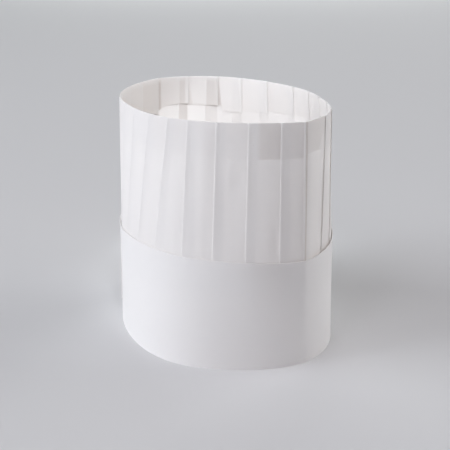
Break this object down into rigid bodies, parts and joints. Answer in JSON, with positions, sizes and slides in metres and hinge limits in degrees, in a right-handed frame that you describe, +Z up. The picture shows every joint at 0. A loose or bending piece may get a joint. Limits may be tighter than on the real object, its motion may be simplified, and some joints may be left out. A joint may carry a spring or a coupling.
{
  "type": "paper chef hat",
  "caption": "Open-topped paper chef hat: a knife-pleated crown with its top edge turned in, held by a plain head band round its foot.",
  "frame": {"origin": "on the floor, under the middle of the hat's bounding box", "axes": "+Z up, +Y along the longer axis of the head opening, towards the back storage crease"},
  "size_m": [0.1756, 0.217, 0.203],
  "materials": {
    "crown_paper": "matte",
    "band_paper": "matte"
  },
  "bodies": {
    "root": {"crown": "crown_paper", "band": "band_paper"}
  },
  "joints": []
}
